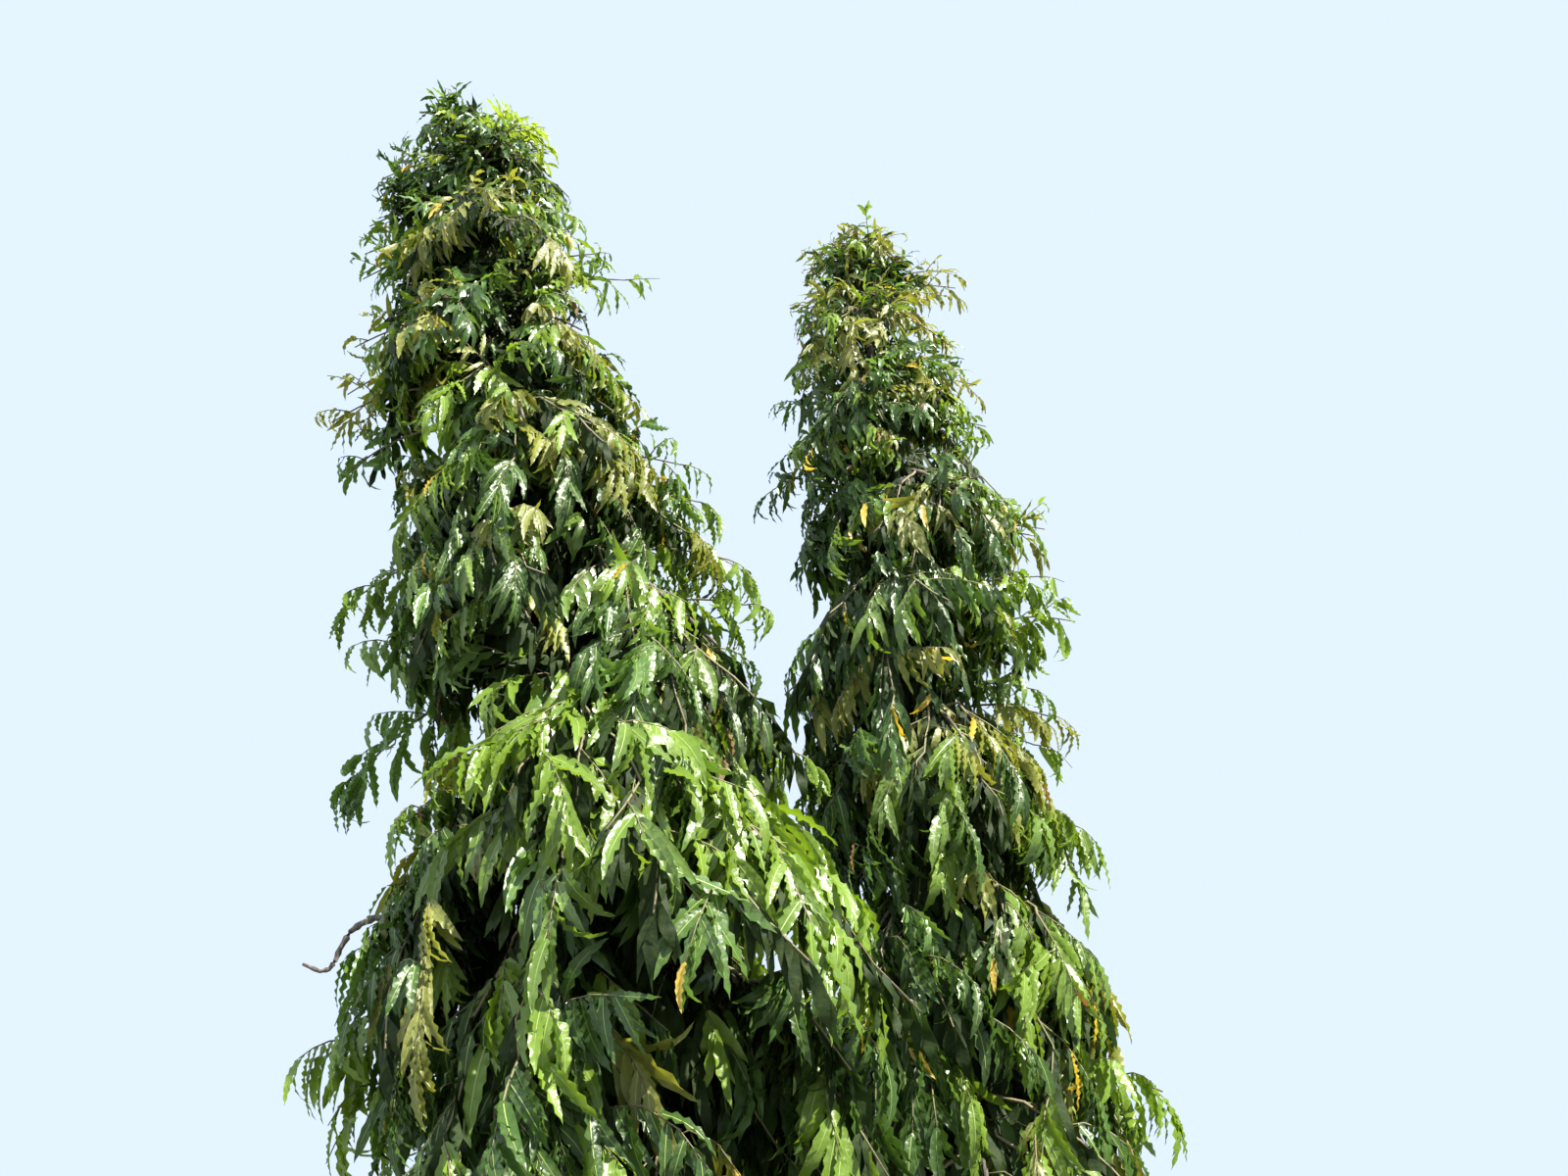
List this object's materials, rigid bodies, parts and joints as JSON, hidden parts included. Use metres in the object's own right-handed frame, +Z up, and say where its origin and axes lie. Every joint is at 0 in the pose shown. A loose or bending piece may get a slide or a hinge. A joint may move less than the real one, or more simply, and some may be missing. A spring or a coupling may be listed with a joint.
{
  "type": "mast tree",
  "caption": "Whole mast tree with a forked trunk: two slender leaders clothed in drooping tiers of long, narrow, wavy-edged leaves.",
  "frame": {"origin": "middle of the flat cut under the trunk, at ground level", "axes": "+Z up, +X to the right and +Y away from a person who sees the tree as the picture does"},
  "size_m": [2.4543, 1.9675, 6.8368],
  "materials": {
    "bark": "rough grey-brown bark",
    "leaf_mid": "glossy mid-green leaves",
    "leaf_deep": "glossy deep-green leaves",
    "leaf_bright": "glossy bright-green leaves",
    "leaf_plain": "glossy green leaves",
    "leaf_fresh": "glossy fresh lime-green leaves"
  },
  "bodies": {
    "root": {"far_bough_7_0": "bark", "far_bough_8_0": "bark", "far_bough_8_1": "bark", "far_foliage_0_0": "leaf_mid", "far_foliage_1_0": "leaf_deep", "far_foliage_1_1": "leaf_bright", "far_foliage_2_0": "leaf_plain", "far_foliage_2_1": "leaf_mid", "far_foliage_2_2": "leaf_deep", "far_foliage_3_0": "leaf_bright", "far_foliage_3_1": "leaf_plain", "far_foliage_3_2": "leaf_mid", "far_foliage_4_0": "leaf_deep", "far_foliage_4_1": "leaf_bright", "far_foliage_4_2": "leaf_plain", "far_foliage_5_0": "leaf_mid", "far_foliage_5_1": "leaf_deep", "far_foliage_5_2": "leaf_bright", "far_foliage_6_0": "leaf_plain", "far_foliage_6_1": "leaf_mid", "far_foliage_6_2": "leaf_deep", "far_foliage_7_0": "leaf_bright", "far_foliage_7_1": "leaf_plain", "far_foliage_7_2": "leaf_mid", "far_foliage_8_0": "leaf_deep", "far_foliage_8_1": "leaf_bright", "far_stem": "bark", "near_bough_5_1": "bark", "near_bough_6_0": "bark", "near_bough_6_2": "bark", "near_bough_7_1": "bark", "near_bough_7_2": "bark", "near_bough_8_0": "bark", "near_bough_8_1": "bark", "near_foliage_0_0": "leaf_mid", "near_foliage_1_0": "leaf_fresh", "near_foliage_1_1": "leaf_bright", "near_foliage_2_0": "leaf_plain", "near_foliage_2_1": "leaf_mid", "near_foliage_2_2": "leaf_deep", "near_foliage_3_0": "leaf_bright", "near_foliage_3_1": "leaf_plain", "near_foliage_3_2": "leaf_mid", "near_foliage_4_0": "leaf_deep", "near_foliage_4_1": "leaf_bright", "near_foliage_4_2": "leaf_plain", "near_foliage_5_0": "leaf_mid", "near_foliage_5_1": "leaf_deep", "near_foliage_5_2": "leaf_bright", "near_foliage_6_0": "leaf_plain", "near_foliage_6_1": "leaf_mid", "near_foliage_6_2": "leaf_deep", "near_foliage_7_0": "leaf_bright", "near_foliage_7_1": "leaf_plain", "near_foliage_7_2": "leaf_mid", "near_foliage_8_0": "leaf_deep", "near_foliage_8_1": "leaf_bright", "near_stem": "bark", "trunk": "bark"}
  },
  "joints": []
}
